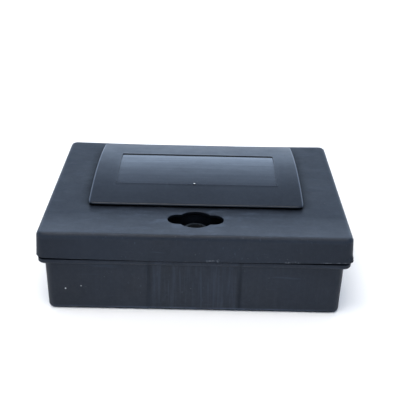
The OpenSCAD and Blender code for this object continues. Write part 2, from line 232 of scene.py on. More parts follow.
RIB_XS = (-96, -48, 0, 48, 96)
RIB_Y_SPAN = (-38, 82)
RIB_YS = (-38, 48)
RIB_X_SPAN = (-108, 108)
RIB_HALF_T = 0.9
RIB_DEPTH = 3.0
WEB_REAR = (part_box("lock_keeper")[0] / MM).y
WEB_FRONT = WEB_REAR - 2.2
WEB_HALF_W = 9
GUSSET_XS = (-8.1, 8.1)
GUSSET_HALF_T = 0.85
GUSSET_DEPTH = 8
GUSSET_REACH = 7
STAKE_XS = (-4, 4)
STAKE_Z = LID_BOTTOM + 8
STAKE = [(1.2, 0.0), (1.2, 1.6), (2.0, 1.6), (1.95, 2.0), (1.5, 2.35), (0.8, 2.4)]

KNUCKLE_HALF_W = 8.0
KNUCKLE_GUSSET = [(-5.2, 3.0), (-3.4, 1.7), (-1.0, -1.0), (2.0, 1.0), (3.3, 1.9),
                  (-4.4, 15.0), (-5.2, 15.0)]
TOE_ANGLE = -37.0
TOE_LENGTH = 6.2
TOE_HALF_T = 1.2


def lid_offset(z):
    """How far the lid's outer wall stands out from its top outline at height z."""
    return DRAFT * (LID_TOP - z) / (LID_TOP - LID_BOTTOM)


def key_radius(angle):
    """Distance from the lock's axis to the keyhole's edge in this direction."""
    c, s = abs(math.cos(angle)), abs(math.sin(angle))
    if s > 0 and KEY_LOBE_R * c / s <= KEY_LOBE_X:
        lobe = KEY_LOBE_R / s
    else:
        lobe = KEY_LOBE_X * c + math.sqrt(KEY_LOBE_R ** 2 - (KEY_LOBE_X * s) ** 2)
    return max(KEY_HOLE_R, lobe)


def warp_lid(p):
    """The real moulding's warp: it sags at the rear, bows down in front, and is never quite flat."""
    x, y, z = p
    middle = 1 - min(1.0, abs(x) / LID_HALF_W) ** 2
    height = (z - LID_BOTTOM) / (LID_TOP - LID_BOTTOM)
    rear, front = ramp(y, -25, 120), ramp(-y, 80, 12)
    sag = -LID_REAR_SAG * middle * rear * rear * max(0.0, height)
    bow = (LID_FRONT_LIFT - LID_FRONT_BOW * middle) * front * (1 - height)
    low = noise.noise(Vector((x / 42, y / 42, z / 30)))
    side = noise.noise(Vector((x / 30 + 9, y / 30, z / 18)))
    edge = max(abs(x) / LID_HALF_W, abs(y) / LID_HALF_D)
    out = SKIRT_WAVE * side * (1 if edge > 0.97 else 0) * (1 - height)
    nx = math.copysign(1, x) if abs(x) / LID_HALF_W > abs(y) / LID_HALF_D else 0
    ny = 0 if nx else math.copysign(1, y)
    near = max(0.0, 1 - (Vector(p) - BURR_AT).length / BURR_REACH)
    burr = BURR * near * (0.6 + noise.noise(Vector(p) * 0.9))
    return (x + nx * out + burr, y + ny * out - 0.4 * burr, z + sag + bow + TOP_WAVE * low)


def lid_shell():
    """Rings from the rim up the outside, in to the keyhole, through it, and down the inside."""
    fronts = np.linspace(-1, 1, 111)
    sides = np.linspace(-1, 1, 61)

    def wall_ring(offset, z):
        r = max(0.9, LID_CORNER_R + offset)
        flat = outline(LID_HALF_W + offset, LID_HALF_D + offset, r, fronts, sides)
        return [(x, y, z) for x, y in flat]

    def wall_arc(*arc):
        return [wall_ring(offset, z) for offset, z in circle_points(*arc)]

    def key_ring(gap, z):
        points = []
        for x, y, _ in outer:
            a = math.atan2(y - KEY_Y, x)
            r = key_radius(a) + gap
            points.append((r * math.cos(a), KEY_Y + r * math.sin(a), z))
        return points

    def key_arc(*arc):
        return [key_ring(gap, z) for gap, z in circle_points(*arc)]

    def between(a, b, share):
        return [tuple(p + (q - p) * share for p, q in zip(u, v)) for u, v in zip(a, b)]

    foot = lid_offset(LID_BOTTOM)
    lip_z = LID_BOTTOM + LID_LIP_R
    rings = wall_arc(foot - LID_LIP_R, lip_z, LID_LIP_R, -90, 0, 3)
    edge_z = LID_TOP - LID_EDGE_R
    rings += [wall_ring(lid_offset(z), z) for z in np.linspace(LID_BOTTOM + 2, edge_z - 1.5, 9)]
    rings += wall_arc(lid_offset(edge_z) - LID_EDGE_R, edge_z, LID_EDGE_R, 0, 90, 10)
    outer = rings[-1]
    inner = key_ring(KEY_RIM_R, LID_TOP)
    rings += [between(outer, inner, share) for share in np.linspace(0, 1, 37)[1:-1]]
    rings += key_arc(KEY_RIM_R, LID_TOP - KEY_RIM_R, KEY_RIM_R, 90, 180, 4)
    rings += key_arc(LID_LIP_R, LID_UNDER + LID_LIP_R, LID_LIP_R, 180, 270, 3)
    fillet_out = lid_offset(LID_UNDER) - WALL - LID_FILLET
    fillet_z = LID_UNDER - LID_FILLET
    start, last = rings[-1], wall_ring(fillet_out, LID_UNDER)
    rings += [between(start, last, share) for share in np.linspace(0, 1, 15)[1:]]
    rings += wall_arc(fillet_out, fillet_z, LID_FILLET, 90, 0, 4)[1:]
    inside_zs = np.linspace(fillet_z - 2, LID_BOTTOM + 1.5, 5)
    rings += [wall_ring(lid_offset(z) - WALL, z) for z in inside_zs]
    rings += wall_arc(foot - WALL + LID_LIP_R, lip_z, LID_LIP_R, 180, 270, 3)
    verts, faces = loft(rings, closed=True)
    return [warp_lid(v) for v in verts], faces


def lid_knuckle(x):
    """Hinge knuckle with its gusset up the lid's rear wall and the toe that stops the open lid."""
    toe = math.radians(TOE_ANGLE)
    cos, sin = math.cos(toe), math.sin(toe)
    barrel = circle_points(HINGE_Y, HINGE_Z, BARREL_R, 30, 390, 40)[:-1]
    corners = [(0, -TOE_HALF_T), (TOE_LENGTH, -TOE_HALF_T), (TOE_LENGTH, TOE_HALF_T), (0, TOE_HALF_T)]
    turned = [(u * cos - v * sin, u * sin + v * cos) for u, v in corners]
    parts = []
    for shift, profile in enumerate((barrel, about_hinge(KNUCKLE_GUSSET), about_hinge(turned))):
        half = KNUCKLE_HALF_W - shift * SHIFT
        parts.append(add_slab(profile, x - half, x + half))
    return parts


def lid_fittings():
    """Ribs, the web that carries the lock's keeper, and the hinge knuckles."""
    rib_z, into = LID_UNDER - RIB_DEPTH, LID_UNDER + OVERLAP
    parts = []
    for x in RIB_XS:
        parts.append(add_box((x - RIB_HALF_T, RIB_Y_SPAN[0], rib_z),
                             (x + RIB_HALF_T, RIB_Y_SPAN[1], into)))
    for y in RIB_YS:
        parts.append(add_box((RIB_X_SPAN[0], y - RIB_HALF_T, rib_z + 0.05),
                             (RIB_X_SPAN[1], y + RIB_HALF_T, into)))
    parts.append(add_box((-WEB_HALF_W, WEB_FRONT, LID_BOTTOM + 2), (WEB_HALF_W, WEB_REAR, into)))
    gusset_low = LID_UNDER - GUSSET_DEPTH
    gusset = [(WEB_FRONT + 0.1, gusset_low), (WEB_REAR, gusset_low),
              (WEB_FRONT + GUSSET_REACH, into), (WEB_FRONT + 0.1, into)]
    for x in GUSSET_XS:
        parts.append(add_slab(gusset, x - GUSSET_HALF_T, x + GUSSET_HALF_T))
    for x in STAKE_XS:
        stake, stake_faces = add_lathe(STAKE, (0, 0), 24)
        parts.append(([(px + x, WEB_REAR + pz, STAKE_Z - py) for px, py, pz in stake], stake_faces))
    for x in HINGE_XS:
        parts += lid_knuckle(x)
    return joined(parts)


# ---- Label plate: a thin arched sheet with side walls, a recess and snap pegs ----

PLATE_RISE = 6.4
PLATE_T = 1.4
PLATE_CORNER_R = 4.5
PLATE_EDGE_R = 1.0
PLATE_UNDERCUT = 1.6
PLATE_WAVE = 0.06
PLATE_HALF_W = (PLATE_HIGH.x - PLATE_LOW.x) / 2
PLATE_HALF_D = (PLATE_HIGH.y - PLATE_LOW.y) / 2
PLATE_Y = (PLATE_HIGH.y + PLATE_LOW.y) / 2
ARCH_R = (PLATE_HALF_D ** 2 + PLATE_RISE ** 2) / (2 * PLATE_RISE)
ARCH_AXIS_Z = PLATE_HIGH.z - ARCH_R
WINDOW_HALF_W = 67.0
WINDOW_Y = (-15.5, 46.5)
WINDOW_DEPTH = 0.6
WINDOW_STEP = 0.3
WINDOW_LIP = 0.15
WINDOW_LIP_OUT = 0.3
WINDOW_LIP_W = 0.45
WINDOW_CORNER_R = 0.8
PEG_XS = (-72, 72)
PEG_DYS = (-44.0, 44.0)
NUB_AT = (-2.0, WINDOW_Y[0])
NUB_R = 1.3


def arch_z(y, r=ARCH_R):
    """Height of an arch of this radius at a distance from the plate's middle line."""
    return ARCH_AXIS_Z + math.sqrt(r ** 2 - y ** 2)


def inside(x, y, half_w, half_d, r):
    """Depth of a point inside a rounded rectangle about the origin; negative outside."""
    qx, qy = abs(x) - (half_w - r), abs(y) - (half_d - r)
    return r - min(max(qx, qy), 0.0) - math.hypot(max(qx, 0.0), max(qy, 0.0))


def grid_lines(half, breaks, step):
    """Grid lines from -half to half, dense at the rims and at each break."""
    rim = [0.0, 0.12, 0.3, 0.6, 1.0, 1.6, 2.3, 3.0]
    near = [0.0, 0.15, 0.3, 0.6, 0.9, 1.2]
    lines = [-half + d for d in rim] + [half - d for d in rim]
    for b in breaks:
        lines += [b + d for d in near] + [b - d for d in near]
    lines = sorted(set(round(v, 4) for v in lines))
    filled = [lines[0]]
    for v in lines[1:]:
        gap = v - filled[-1]
        parts = max(1, math.ceil(gap / step))
        filled += [filled[-1] + gap * (i + 1) / parts for i in range(parts)] if parts > 1 else [v]
    return filled


def plate_mesh():
    window_y = (WINDOW_Y[0] + WINDOW_Y[1]) / 2 - PLATE_Y
    window_half = (WINDOW_Y[1] - WINDOW_Y[0]) / 2
    wall_x = PLATE_HALF_W - PLATE_T - 0.3
    xs = grid_lines(PLATE_HALF_W, (-WINDOW_HALF_W, WINDOW_HALF_W, -wall_x, wall_x), 5.0)
    ys = grid_lines(PLATE_HALF_D, (window_y - window_half, window_y + window_half), 3.0)

    def place(x, y):
        """A grid point, drawn in round the plate's corners."""
        corner_x, corner_y = PLATE_HALF_W - PLATE_CORNER_R, PLATE_HALF_D - PLATE_CORNER_R
        u, v = abs(x) - corner_x, abs(y) - corner_y
        if u > 0 and v > 0:
            share = max(u, v) / math.hypot(u, v)
            x = math.copysign(corner_x + u * share, x)
            y = math.copysign(corner_y + v * share, y)
        return x, y

    def top(x, y):
        depth = max(0.0, inside(x, y, PLATE_HALF_W, PLATE_HALF_D, PLATE_CORNER_R))
        z = arch_z(y)
        if depth < PLATE_EDGE_R:
            z -= PLATE_EDGE_R - math.sqrt(PLATE_EDGE_R ** 2 - (PLATE_EDGE_R - depth) ** 2)
        half_w, half_d = WINDOW_HALF_W + WINDOW_STEP / 2, window_half + WINDOW_STEP / 2
        into = inside(x, y - window_y, half_w, half_d, WINDOW_CORNER_R)
        share = ramp(into, 0, WINDOW_STEP)
        z -= WINDOW_DEPTH * share * share * (3 - 2 * share)
        z += WINDOW_LIP * math.exp(-((into + WINDOW_LIP_OUT) / WINDOW_LIP_W) ** 2)
        return z + PLATE_WAVE * noise.noise(Vector((x / 30, y / 30, 3.3)))

    def bottom(x, y):
        share = ramp(abs(x), wall_x, 0.3)
        arch = arch_z(y, ARCH_R - PLATE_T)
        return arch + (LID_TOP + 0.4 - arch) * share

    verts, faces = [], []
    columns, rows = len(xs), len(ys)
    undercut = (PLATE_HALF_D - PLATE_UNDERCUT) / PLATE_HALF_D
    for height, drawn_in in ((top, 1.0), (bottom, undercut)):
        for y0 in ys:
            for x0 in xs:
                x, y = place(x0, y0)
                y *= drawn_in
                verts.append((x, y + PLATE_Y, height(x, y)))
    under = columns * rows
    for j in range(rows - 1):
        for i in range(columns - 1):
            a = j * columns + i
            b, c, d = a + 1, a + columns + 1, a + columns
            faces.append((a, b, c, d))
            faces.append((a + under, d + under, c + under, b + under))
    rim = list(range(columns))
    rim += [j * columns + columns - 1 for j in range(1, rows)]
    rim += [(rows - 1) * columns + i for i in range(columns - 2, -1, -1)]
    rim += [j * columns for j in range(rows - 2, 0, -1)]
    for a, b in zip(rim, rim[1:] + rim[:1]):
        faces.append((a + under, b + under, b, a))
    return verts, faces


def plate_pegs():
    """The snap pegs under the plate, and the small nub at the recess's front edge."""
    foot_top = arch_z(PEG_DYS[1]) - 0.9
    head = LID_UNDER - 0.2
    peg = [(2.0, head - 2), (2.3, head - 1.9), (3.3, head - 0.25), (3.15, head), (2.5, head + 0.05),
           (2.5, LID_TOP), (4.0, LID_TOP + 0.02), (4.0, foot_top)]
    parts = [add_lathe(peg, (x, PLATE_Y + dy)) for x in PEG_XS for dy in PEG_DYS]
    nub_z = arch_z(NUB_AT[1] - PLATE_Y)
    nub = [(NUB_R, nub_z - 0.8), (NUB_R, nub_z + 0.3), (0.95, nub_z + 0.57), (0.4, nub_z + 0.7)]
    parts.append(add_lathe(nub, NUB_AT, 24))
    return joined(parts)


# ---- Base: a shell with a ledge, cut by the entrances, and the parts moulded inside it ----

BASE_HALF_W = 116.0
BASE_HALF_D = 91.0
BASE_CORNER_R = 7.0
BASE_EDGE_R = 3.0
FLOOR_T = 2.5
FLOOR_FILLET = 2.0
BASE_LIP_R = 0.6
NOOK_R = 0.6
LEDGE_TOP = 47.0
LEDGE_UNDER = 43.0
LEDGE_R = 1.5
LEDGE_TOP_R = 0.4
LEDGE_RISE = 0.45
LEDGE_REACH = 4.0
SINK_DEPTH = 0.17
BASE_WAVE = 0.16

SIDE_WALL_X = 35.5
TUNNEL_WALL_Y = 34.0
INNER_HALF_T = 1.0
GATE_Y = (-36.0, 4.0)
GATE_SILL = 9
PASSAGE_HALF = 26.0
PASSAGE_SILL = 6
BAFFLE_Y = (-44, -42)
LOCK_WALL_TOP = 28
DOOR_Y = 61.0
DOOR_Z = 5.0
DOOR_HALF = 21.0
DOOR_H = 35.0
DOOR_CORNER_R = 14.0
DOOR_FOOT_R = 3.0
DOOR_BEAD = [(0.9, 0.35), (0.6, 0.5), (0.0, 0.5), (-0.3, 0.2), (-0.3, -WALL - 0.2), (0.0, -WALL - 0.5),
             (0.6, -WALL - 0.5), (0.9, -WALL - 0.35)]
ANCHORS = [(x, y) for x in (-20.0, 20.0) for y in (-5.0, DOOR_Y)]
ANCHOR_R = 2.5
BOSS = [(ANCHOR_R, 0.8), (6.4, 0.8), (6.4, 2.8), (6, 3.2), (6, 4.2), (5.7, 4.5), (2.9, 4.5),
        (ANCHOR_R, 4.1)]
BED = FLOOR_T - OVERLAP
POST = [(10.8, BED), (10.8, BED + 0.5), (10, BED + 1.3), (10, 44.6), (9.6, 45), (5.0, 45),
        (5.0, 53.6), (4.6, 54)]
EAR_DXS = (-10.8, 10.8)
EAR_HALF_W = 2.5
EAR_WEB = [(-10, -14), (-8, -14), (2.2, -3.1), (0.5, 0.5), (-3.4, 1.2), (-10, 1.2)]


def base_offset(z):
    """How far the base's wall stands out from its nominal outline at height z."""
    return DRAFT * (z - LID_BOTTOM) / LID_BOTTOM


def sink(distance):
    """Depth of a sink mark at this distance from the middle of the inner wall behind it."""
    return SINK_DEPTH * math.exp(-(distance / 1.5) ** 2)


def warp_base(p):
    """Sink marks over the inner walls, and the slow unevenness of a large moulding."""
    x, y, z = p
    on_wall = 1.0 < z < LEDGE_UNDER
    if y < 2 - BASE_HALF_D and z > LEDGE_UNDER - 1:
        z += LEDGE_RISE * (1 - (x / BASE_HALF_W) ** 2) * ramp(RIM_TOP - z, 0, 10)
    if on_wall and y < 1 - BASE_HALF_D:
        y += sink(x + SIDE_WALL_X) + sink(x - SIDE_WALL_X)
        y += BASE_WAVE * noise.noise(Vector((x / 38, 1.7, z / 26)))
    elif on_wall and abs(x) > BASE_HALF_W - 2:
        x -= math.copysign(sink(y - TUNNEL_WALL_Y), x)
        x += BASE_WAVE * noise.noise(Vector((5.1, y / 38, z / 26)))
    elif on_wall and y > BASE_HALF_D - 2:
        y += BASE_WAVE * noise.noise(Vector((x / 38, 8.4, z / 26)))
    return x, y, z


def stations(half, marks, count):
    """Shares of a straight side, closer together near the marks."""
    shares = set(np.round(np.linspace(-1, 1, count), 5))
    for m in marks:
        shares |= {round((m + d) / half, 5) for d in np.arange(-3.6, 3.7, 0.6)}
    return sorted(shares)


def base_shell():
    """Rings from under the floor up the outside, over the ledge and the rim, and down the inside."""
    fronts = stations(BASE_HALF_W - BASE_CORNER_R, (-SIDE_WALL_X, SIDE_WALL_X), 81)
    sides = np.linspace(-1, 1, 61)
    rings = []

    def ring(offset, z, r=None):
        r = max(1.0, BASE_CORNER_R + offset if r is None else r)
        flat = outline(BASE_HALF_W + offset, BASE_HALF_D + offset, r, fronts, sides)
        rings.append([(x, y, z) for x, y in flat])

    def arc(*section):
        for offset, z in circle_points(*section):
            ring(offset, z)

    low = base_offset(BASE_EDGE_R) - BASE_EDGE_R
    ring(low - 3, 0)
    arc(low, BASE_EDGE_R, BASE_EDGE_R, -90, 0, 8)
    for z in np.linspace(BASE_EDGE_R + 3, LEDGE_UNDER - 3, 12):
        ring(base_offset(z), z)
    arc(base_offset(LEDGE_UNDER) + NOOK_R, LEDGE_UNDER - NOOK_R, NOOK_R, 180, 90, 3)
    ledge = circle_points(LEDGE_REACH - LEDGE_R, LEDGE_UNDER + LEDGE_R, LEDGE_R, -90, 0, 6)
    ledge += circle_points(LEDGE_REACH - LEDGE_TOP_R, LEDGE_TOP - LEDGE_TOP_R, LEDGE_TOP_R, 0, 90, 3)
    for out, z in ledge:
        ring(out, z, LID_CORNER_R - LEDGE_REACH + out)
    arc(base_offset(LEDGE_TOP) + NOOK_R, LEDGE_TOP + NOOK_R, NOOK_R, 270, 180, 3)
    for z in np.linspace(LEDGE_TOP + 3, RIM_TOP - 1.5, 4):
        ring(base_offset(z), z)
    rim, rim_z = base_offset(RIM_TOP), RIM_TOP - BASE_LIP_R
    arc(rim - BASE_LIP_R, rim_z, BASE_LIP_R, 0, 90, 3)
    arc(rim - WALL + BASE_LIP_R, rim_z, BASE_LIP_R, 90, 180, 3)
    for z in np.linspace(RIM_TOP - 3, FLOOR_T + 4, 12):
        ring(base_offset(z) - WALL, z)
    inner = base_offset(FLOOR_T + FLOOR_FILLET) - WALL
    arc(inner - FLOOR_FILLET, FLOOR_T + FLOOR_FILLET, FLOOR_FILLET, 0, -90, 5)
    ring(inner - 6, FLOOR_T)
    verts, faces = loft(rings, closed=False)
    count = len(rings[0])
    faces.append(tuple(range(count))[::-1])
    faces.append(tuple(range(len(verts) - count, len(verts))))
    return [warp_base(v) for v in verts], faces


def door_outline():
    """Entrance outline in the plane across X, anticlockwise seen from +X."""
    foot_z, foot_y = DOOR_Z + DOOR_FOOT_R, DOOR_HALF - DOOR_FOOT_R
    crown_z, crown_y = DOOR_Z + DOOR_H - DOOR_CORNER_R, DOOR_HALF - DOOR_CORNER_R
    points = circle_points(DOOR_Y - foot_y, foot_z, DOOR_FOOT_R, 180, 270, 5)
    points += circle_points(DOOR_Y + foot_y, foot_z, DOOR_FOOT_R, 270, 360, 5)
    points += circle_points(DOOR_Y + crown_y, crown_z, DOOR_CORNER_R, 0, 90, 14)
    points += circle_points(DOOR_Y - crown_y, crown_z, DOOR_CORNER_R, 90, 180, 14)
    return points


def door_frame(side):
    """Moulded bead round an entrance, which wraps the wall's cut edge."""
    points = door_outline()
    count = len(points)
    rings = []
    for n, x in DOOR_BEAD:
        ring = []
        for i, (y, z) in enumerate(points):
            (y0, z0), (y1, z1) = points[i - 1], points[(i + 1) % count]
            length = math.hypot(y1 - y0, z1 - z0)
            ny, nz = (z1 - z0) / length, -(y1 - y0) / length
            wall_x = BASE_HALF_W + base_offset(z) + x
            ring.append((side * wall_x, y + ny * n, z + nz * n))
        rings.append(ring)
    verts, faces = loft(rings, closed=True)
    if side < 0:
        faces = [f[::-1] for f in faces]
    return verts, faces


def across_y(part):
    """A slab made across X, turned to lie across Y."""
    verts, faces = part
    return [(y, x, z) for x, y, z in verts], [f[::-1] for f in faces]


def base_ear(x):
    """One ear of a hinge: the barrel round the pin, and the web that holds it to the rear wall."""
    barrel = circle_points(HINGE_Y, HINGE_Z, BARREL_R, 0, 360, 40)[:-1]
    web_half = EAR_HALF_W - SHIFT
    return [add_slab(barrel, x - EAR_HALF_W, x + EAR_HALF_W),
            add_slab(about_hinge(EAR_WEB), x - web_half, x + web_half)]


def inner_wall(ends, gap, sill, at):
    """Upright wall between two ends, open above its sill in the gap."""
    (start, end), (left, right) = ends, gap
    profile = [(start, BED), (end, BED), (end, RIM_TOP), (right, RIM_TOP), (right, sill), (left, sill),
               (left, RIM_TOP), (start, RIM_TOP)]
    return add_slab(profile, at - INNER_HALF_T, at + INNER_HALF_T)


def base_fittings():
    """Inner walls, lock post, hinge ears, screw bosses and the beads of the entrances."""
    parts = []
    front, reach = OVERLAP - WALL + BASE_HALF_D, BASE_HALF_W - WALL + OVERLAP
    for x in (-SIDE_WALL_X, SIDE_WALL_X):
        parts.append(inner_wall((-front, TUNNEL_WALL_Y), GATE_Y, GATE_SILL, x))
    passage = (-PASSAGE_HALF, PASSAGE_HALF)
    parts.append(across_y(inner_wall((-reach, reach), passage, PASSAGE_SILL, TUNNEL_WALL_Y)))
    parts.append(add_box((-SIDE_WALL_X, BAFFLE_Y[0], BED), (SIDE_WALL_X, BAFFLE_Y[1], RIM_TOP)))
    parts.append(add_box((-SIDE_WALL_X, KEY_Y - INNER_HALF_T, BED),
                         (SIDE_WALL_X, KEY_Y + INNER_HALF_T, LOCK_WALL_TOP)))
    parts.append(add_lathe(POST, (0, KEY_Y), 48))
    for x in HINGE_XS:
        for dx in EAR_DXS:
            parts += base_ear(x + dx)
    for cx, cy in ANCHORS:
        circles = [circle_points(cx, cy, r, 0, 360, 36)[:-1] for r, _ in BOSS]
        rings = [[(x, y, z) for x, y in circle] for circle, (_, z) in zip(circles, BOSS)]
        parts.append(loft(rings, closed=True))
    parts += [door_frame(-1), door_frame(1)]
    return joined(parts)


def cut(obj, cutters):
    """Takes the cutters away from the object, and deletes them."""
    for cutter in cutters:
        modifier = obj.modifiers.new(cutter.name, "BOOLEAN")
        modifier.object = cutter
        modifier.operation = "DIFFERENCE"
        modifier.solver = "EXACT"
    shape = obj.evaluated_get(bpy.context.evaluated_depsgraph_get())
    mesh = bpy.data.meshes.new_from_object(shape)
    obj.modifiers.clear()
    obj.data = mesh
    for cutter in cutters:
        bpy.data.objects.remove(cutter)


def make_base():
    shell = mesh_object("base_shell", *base_shell())
    through = BASE_HALF_W + 20
    doors = mesh_object("door_cutter", *add_slab(door_outline(), -through, through, 0.01))
    drills = [add_lathe([(ANCHOR_R, -2), (ANCHOR_R, 6)], centre, 36) for centre in ANCHORS]
    cut(shell, [doors, mesh_object("hole_cutter", *joined(drills))])
    smooth(shell)
    return shell, mesh_object("base_fittings", *base_fittings())


# ---- Materials ----

BLACK = (0.0138, 0.0182, 0.0265)
TRAY_GREY = (0.030, 0.033, 0.038)
CAM_GREY = (0.016, 0.020, 0.026)
DUST = (0.22, 0.23, 0.24)
TORN = (0.24, 0.26, 0.29)
NICKED = (0.20, 0.22, 0.25)
PALE = (0.75, 0.78, 0.80)
TARNISH = (0.25, 0.21, 0.17)
GRAIN_FLECK = (0.42, 0.47, 0.36)

PLATE_LEVEL = 0.19
WINDOW_LEVEL = 0.53
WINDOW_POLISH = 0.45
HANDLED_Y = (-88.0, -58.0)
HANDLED_GAIN = 4.2
REAR_Y = (-40.0, 90.0)
REAR_GAIN = 0.72
SHADED_ENDS_X = (45, 118)
SLOPE_Y = (-41, -15)
HOLLOW_REACH = 60.0
SCRATCH_DEPTH = 0.00004
WAVE_DEPTH = 0.00016
SWELL_DEPTH = 0.00035
GRAIN_DEPTH = 0.00003
FLECKS = ((15, 5), (74, 4), (106, 9))
FRONT_SPOTS = ((-100.3, -90.3, 18.8, 0.7, 0.95), (-88.1, -90.3, 21.4, 0.7, 0.35))
# painted highlight: a pale dot on the nub's dome
NUB_HIGHLIGHT_SPOTS = ((*NUB_AT, 77.2, 1.0, 0.8),)


def shade(colour, factor):
    return tuple(min(1.0, c * factor) for c in colour) + (1.0,)


class Look:
    """A material being built from nodes, on the piece's own coordinates in metres."""

    def __init__(self, name):
        self.material = bpy.data.materials.new(name)
        self.material.use_nodes = True
        self.tree = self.material.node_tree
        self.tree.nodes.clear()
        self.place = self.add("TexCoord").outputs["Object"]

    def put(self, node, key, value):
        """Links a socket to the node's input, or sets a plain value on it."""
        if isinstance(value, bpy.types.NodeSocket):
            self.tree.links.new(value, node.inputs[key])
        else:
            node.inputs[key].default_value = value

    def add(self, kind, inputs=None, **settings):
        node = self.tree.nodes.new("ShaderNode" + kind)
        for key, value in settings.items():
            setattr(node, key, value)
        for key, value in (inputs or {}).items():
            self.put(node, key, value)
        return node

    def stretched(self, scale):
        return self.add("Mapping", {"Vector": self.place, "Scale": scale}).outputs["Vector"]

    def cloud(self, scale, detail=3.0, rough=0.5, vector=None):
        node = self.add("TexNoise", {"Vector": vector or self.place, "Scale": scale,
                                     "Detail": detail, "Roughness": rough})
        return node.outputs["Fac"]

    def span(self, value, low, high, to_low=0.0, to_high=1.0):
        """The value's stretch from low to high, as to_low to to_high, and level beyond."""
        node = self.add("MapRange", {"Value": value, "From Min": low, "From Max": high,
                                     "To Min": to_low, "To Max": to_high}, clamp=True)
        return node.outputs["Result"]

    def rise(self, value, low, high):
        """0 up to the low edge and 1 from the high one, both in millimetres."""
        return self.span(value, low * MM, high * MM)

    def fall(self, value, low, high):
        """1 up to the low edge and 0 from the high one, both in millimetres."""
        return self.span(value, low * MM, high * MM, 1, 0)

    def maths(self, operation, a, b):
        return self.add("Math", {0: a, 1: b}, operation=operation).outputs[0]

    def size(self, value):
        return self.maths("ABSOLUTE", value, 0.0)

    def times(self, first, *others):
        for other in others:
            first = self.maths("MULTIPLY", first, other)
        return first

    def vector(self, operation, a, b=(0, 0, 0)):
        return self.add("VectorMath", {0: a, 1: b}, operation=operation).outputs

    def away(self, point, place=None):
        """Distance in metres to a point in millimetres."""
        return self.vector("DISTANCE", place or self.place, tuple(p * MM for p in point))["Value"]

    def mix(self, share, a, b):
        node = self.add("Mix", data_type="RGBA")
        for index, value in ((0, share), (6, a), (7, b)):
            self.put(node, index, value)
        return node.outputs[2]

    def bump(self, height, distance, strength=1.0, normal=None):
        inputs = {"Height": height, "Distance": distance, "Strength": strength}
        if normal is not None:
            inputs["Normal"] = normal
        return self.add("Bump", inputs).outputs["Normal"]

    def done(self, colour, roughness, normal, **others):
        inputs = {"Base Color": colour, "Roughness": roughness, "Normal": normal}
        inputs.update((key.replace("_", " "), value) for key, value in others.items())
        shader = self.add("BsdfPrincipled", inputs)
        output = self.add("OutputMaterial")
        self.tree.links.new(shader.outputs["BSDF"], output.inputs["Surface"])
        return self.material


class Moulding(Look):
    """Moulded plastic, built up in layers of colour (base), gloss, shine and relief."""

    def __init__(self, name, colour):
        super().__init__(name)
        axes = self.add("SeparateXYZ", {"Vector": self.place}).outputs
        self.x, self.y, self.z = axes["X"], axes["Y"], axes["Z"]
        self.side = self.size(self.x)
        self.colour = colour
        self.waves = None       # a second relief, over the first one

    def tint(self, share, factor):
        """A lighter or darker shade of the plastic's own colour."""
        self.base = self.mix(share, self.base, shade(self.colour, factor))

    def paint(self, share, colour):
        self.base = self.mix(share, self.base, colour + (1,))

    def gain(self, share, factor):
        """Multiplies the shine by the factor where the share is 1."""
        self.shine = self.times(self.shine, self.span(share, 0, 1, 1.0, factor))

    def spots(self, spots):
        """Small pale spots, each an (x, y, z, size, share) in millimetres: marks on the base, and a
        painted highlight on the nub.
        """
        for x, y, z, size, share in spots:
            away = self.away((x, y, z))
            self.paint(self.span(away, 0.5 * size * MM, size * MM, share, 0), PALE)


def hollow_share(look, half_w, half_d, r):
    """1 on the inner side of a shell with this outline, and 0 on its outer side."""
    flat = look.vector("ABSOLUTE", look.stretched((1, 1, 0)))["Vector"]
    past = look.vector("SUBTRACT", flat, ((half_w - r) * MM, (half_d - r) * MM, 0))["Vector"]
    past = look.vector("MAXIMUM", past)["Vector"]
    depth = look.vector("LENGTH", past)["Value"]
    return look.fall(depth, r - 1.7, r - 1.5)


def lid_hollow(look):
    share = hollow_share(look, LID_HALF_W + 1.0, LID_HALF_D + 1.0, LID_CORNER_R + 1.0)
    return look.times(share, look.fall(look.z, LID_UNDER + 0.2, LID_UNDER + 0.5))


def base_hollow(look):
    share = hollow_share(look, BASE_HALF_W, BASE_HALF_D, BASE_CORNER_R)
    return look.times(share, look.rise(look.z, 1.0, 1.5))


def painted_shade_ends(look):
    """Painted shade on the left and right ends of the walls, which see less of the light."""
    ends = look.times(look.rise(look.side, *SHADED_ENDS_X), look.fall(look.z, LID_TOP - 5, LID_TOP - 3))
    look.tint(look.times(ends, 0.35), 0.4)
    look.gain(ends, 0.8)


def flecked_rim(look):
    """Pale torn flecks at a few places along the lid's lower front edge."""
    low = look.fall(look.z, LID_BOTTOM + 1.3, LID_BOTTOM + 2.2)
    front = look.fall(look.y, 1 - LID_HALF_D, 4 - LID_HALF_D)
    patches = 0.0
    for x, half in FLECKS:
        off = look.size(look.maths("SUBTRACT", look.x, x * MM))
        patches = look.maths("MAXIMUM", look.fall(off, half, half + 3), patches)
    specks = look.span(look.cloud(620, 4, 0.7), 0.50, 0.62, 0, 0.34)
    look.paint(look.times(low, front, patches, specks), TORN)


def rubbed_top(look):
    """Smudges round the keyhole, and pale nicks along the lid's left and right top edges."""
    near = look.span(look.away((0, KEY_Y, LID_TOP)), 0.022, 0.080, 1, 0.3)
    rubs = look.span(look.cloud(1, 5, 0.68, look.stretched((55, 150, 55))), 0.50, 0.74, 0, 0.5)
    look.tint(look.times(rubs, near, look.rise(look.z, LID_TOP - 1.2, LID_TOP - 0.3)), 5.0)
    edge = look.times(look.rise(look.side, LID_HALF_W - 2.6, LID_HALF_W - 1.0),
                      look.rise(look.z, LID_TOP - 3.5, LID_TOP - 2.0))
    nicks = look.span(look.cloud(330, 4, 0.7), 0.55, 0.64, 0, 0.42)
    look.paint(look.times(edge, nicks), NICKED)


